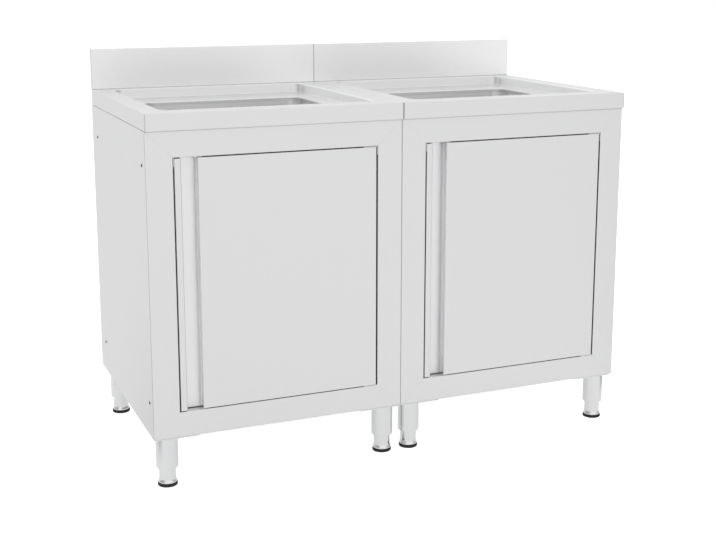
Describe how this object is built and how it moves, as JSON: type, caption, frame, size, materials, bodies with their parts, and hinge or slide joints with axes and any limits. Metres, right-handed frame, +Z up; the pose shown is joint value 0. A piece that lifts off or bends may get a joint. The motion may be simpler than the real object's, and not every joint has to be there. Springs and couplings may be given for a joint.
{
  "type": "kitchen sink unit",
  "caption": "Stainless-steel sink cabinets joined side by side, with sunken bowls, low backsplashes, flush doors with full-height finger pulls, and levelling legs.",
  "frame": {"origin": "on the floor, under the middle of the pair of cabinets", "axes": "+X to the right along the doors, +Y to the wall behind, +Z up"},
  "size_m": [1.2, 0.6, 0.95],
  "materials": {
    "panel_steel": "fine brushed stainless sheet",
    "bowl_steel": "satin deep-drawn stainless",
    "fitting_steel": "polished stainless fittings",
    "tail_steel": "dull stainless pipe",
    "leg_steel": "satin stainless tube",
    "black_rubber": "matt moulded rubber"
  },
  "bodies": {
    "root": {"left_worktop": "panel_steel", "left_sink_bowl": "bowl_steel", "left_waste_flange": "fitting_steel", "left_waste_strainer": "fitting_steel", "left_waste_tail": "tail_steel", "left_side_panel_left": "panel_steel", "left_side_panel_right": "panel_steel", "left_top_rail": "panel_steel", "left_bottom_rail": "panel_steel", "left_back_panel": "panel_steel", "left_base_shelf": "panel_steel", "left_hinge_top": "fitting_steel", "left_hinge_bottom": "fitting_steel", "left_door_catch": "fitting_steel", "left_leg_front_left": "leg_steel", "left_leg_front_right": "leg_steel", "left_leg_rear_left": "leg_steel", "left_leg_rear_right": "leg_steel", "right_worktop": "panel_steel", "right_sink_bowl": "bowl_steel", "right_waste_flange": "fitting_steel", "right_waste_strainer": "fitting_steel", "right_waste_tail": "tail_steel", "right_side_panel_left": "panel_steel", "right_side_panel_right": "panel_steel", "right_top_rail": "panel_steel", "right_bottom_rail": "panel_steel", "right_back_panel": "panel_steel", "right_base_shelf": "panel_steel", "right_hinge_top": "fitting_steel", "right_hinge_bottom": "fitting_steel", "right_door_catch": "fitting_steel", "right_leg_front_left": "leg_steel", "right_leg_front_right": "leg_steel", "right_leg_rear_left": "leg_steel", "right_leg_rear_right": "leg_steel"},
    "left_door": {"left_door_skin": "panel_steel", "left_door_liner": "panel_steel"},
    "left_front_left_foot": {"left_foot_front_left": "leg_steel", "left_sole_front_left": "black_rubber"},
    "left_front_right_foot": {"left_foot_front_right": "leg_steel", "left_sole_front_right": "black_rubber"},
    "left_rear_left_foot": {"left_foot_rear_left": "leg_steel", "left_sole_rear_left": "black_rubber"},
    "left_rear_right_foot": {"left_foot_rear_right": "leg_steel", "left_sole_rear_right": "black_rubber"},
    "right_door": {"right_door_skin": "panel_steel", "right_door_liner": "panel_steel"},
    "right_front_left_foot": {"right_foot_front_left": "leg_steel", "right_sole_front_left": "black_rubber"},
    "right_front_right_foot": {"right_foot_front_right": "leg_steel", "right_sole_front_right": "black_rubber"},
    "right_rear_left_foot": {"right_foot_rear_left": "leg_steel", "right_sole_rear_left": "black_rubber"},
    "right_rear_right_foot": {"right_foot_rear_right": "leg_steel", "right_sole_rear_right": "black_rubber"}
  },
  "joints": [
    {"name": "left_door_hinge", "type": "hinge", "parent": "root", "child": "left_door", "pos_m": [-0.0793, -0.2855, 0.4636], "axis": [0, 0, 1], "range_deg": [0, 110]},
    {"name": "left_front_left_levelling", "type": "slide", "parent": "root", "child": "left_front_left_foot", "axis": [0, 0, -1], "range_m": [0, 0.02]},
    {"name": "left_front_right_levelling", "type": "slide", "parent": "root", "child": "left_front_right_foot", "axis": [0, 0, -1], "range_m": [0, 0.02]},
    {"name": "left_rear_left_levelling", "type": "slide", "parent": "root", "child": "left_rear_left_foot", "axis": [0, 0, -1], "range_m": [0, 0.02]},
    {"name": "left_rear_right_levelling", "type": "slide", "parent": "root", "child": "left_rear_right_foot", "axis": [0, 0, -1], "range_m": [0, 0.02]},
    {"name": "right_door_hinge", "type": "hinge", "parent": "root", "child": "right_door", "pos_m": [0.521, -0.2855, 0.4636], "axis": [0, 0, 1], "range_deg": [0, 110]},
    {"name": "right_front_left_levelling", "type": "slide", "parent": "root", "child": "right_front_left_foot", "axis": [0, 0, -1], "range_m": [0, 0.02]},
    {"name": "right_front_right_levelling", "type": "slide", "parent": "root", "child": "right_front_right_foot", "axis": [0, 0, -1], "range_m": [0, 0.02]},
    {"name": "right_rear_left_levelling", "type": "slide", "parent": "root", "child": "right_rear_left_foot", "axis": [0, 0, -1], "range_m": [0, 0.02]},
    {"name": "right_rear_right_levelling", "type": "slide", "parent": "root", "child": "right_rear_right_foot", "axis": [0, 0, -1], "range_m": [0, 0.02]}
  ]
}
